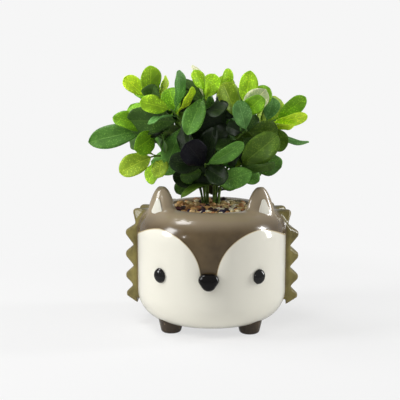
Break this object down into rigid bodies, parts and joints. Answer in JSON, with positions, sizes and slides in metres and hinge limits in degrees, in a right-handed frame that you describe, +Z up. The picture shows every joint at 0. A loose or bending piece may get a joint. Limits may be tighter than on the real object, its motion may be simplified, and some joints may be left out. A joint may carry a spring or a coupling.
{
  "type": "animal shaped planter",
  "caption": "Round glazed ceramic hedgehog pot on short feet, with ears, a white face and a quilled back, holding a lift-out artificial leafy plant set in gravel.",
  "frame": {"origin": "on the floor plane under the pot's axis, between the four feet", "axes": "the face looks along -Y, +Z is up, +X is to the viewer's right"},
  "size_m": [0.1605, 0.1258, 0.1952],
  "materials": {
    "brown_glaze": "gloss brown glaze",
    "olive_glaze": "gloss olive glaze",
    "dark_brown_glaze": "gloss dark brown glaze",
    "white_glaze": "gloss white glaze",
    "black_glaze": "gloss black glaze",
    "foam": "matt cellular foam",
    "gravel": "matt fine gravel",
    "tan_pebbles": "matt stone",
    "cream_pebbles": "matt stone",
    "dark_pebbles": "matt stone",
    "stem_plastic": "satin green plastic",
    "leaf_fabric": "printed fabric, slight sheen"
  },
  "bodies": {
    "pot": {"back_coat": "olive_glaze", "face_panel": "white_glaze", "front_left_foot": "dark_brown_glaze", "front_right_foot": "dark_brown_glaze", "left_ear": "brown_glaze", "left_eye": "black_glaze", "left_inner_ear": "white_glaze", "nose": "black_glaze", "pot_body": "brown_glaze", "quill_row_1": "olive_glaze", "quill_row_2": "olive_glaze", "quill_row_3": "olive_glaze", "quill_row_4": "olive_glaze", "quill_row_5": "olive_glaze", "rear_left_foot": "dark_brown_glaze", "rear_right_foot": "dark_brown_glaze", "right_ear": "brown_glaze", "right_eye": "black_glaze", "right_inner_ear": "white_glaze"},
    "plant": {"cream_pebbles": "cream_pebbles", "crown_leaves": "leaf_fabric", "crown_left_leaves": "leaf_fabric", "crown_left_stem": "stem_plastic", "crown_right_leaves": "leaf_fabric", "crown_right_stem": "stem_plastic", "crown_stem": "stem_plastic", "dark_pebbles": "dark_pebbles", "foam_plug": "foam", "front_leaves": "leaf_fabric", "front_low_leaves": "leaf_fabric", "front_low_stem": "stem_plastic", "front_stem": "stem_plastic", "gravel_bed": "gravel", "left_leaves": "leaf_fabric", "left_pick": "stem_plastic", "left_stem": "stem_plastic", "lower_left_leaves": "leaf_fabric", "lower_left_stem": "stem_plastic", "lower_right_leaves": "leaf_fabric", "lower_right_stem": "stem_plastic", "middle_right_leaves": "leaf_fabric", "middle_right_stem": "stem_plastic", "rear_crown_leaves": "leaf_fabric", "rear_crown_stem": "stem_plastic", "rear_left_leaves": "leaf_fabric", "rear_left_stem": "stem_plastic", "rear_low_left_leaves": "leaf_fabric", "rear_low_left_stem": "stem_plastic", "rear_right_leaves": "leaf_fabric", "rear_right_stem": "stem_plastic", "right_leaves": "leaf_fabric", "right_pick": "stem_plastic", "right_stem": "stem_plastic", "tan_pebbles": "tan_pebbles", "upper_left_leaves": "leaf_fabric", "upper_left_stem": "stem_plastic", "upper_right_leaves": "leaf_fabric", "upper_right_stem": "stem_plastic"}
  },
  "joints": [
    {"name": "plant_lift", "type": "slide", "parent": "pot", "child": "plant", "axis": [0, 0, 1], "range_m": [0, 0.11]}
  ]
}
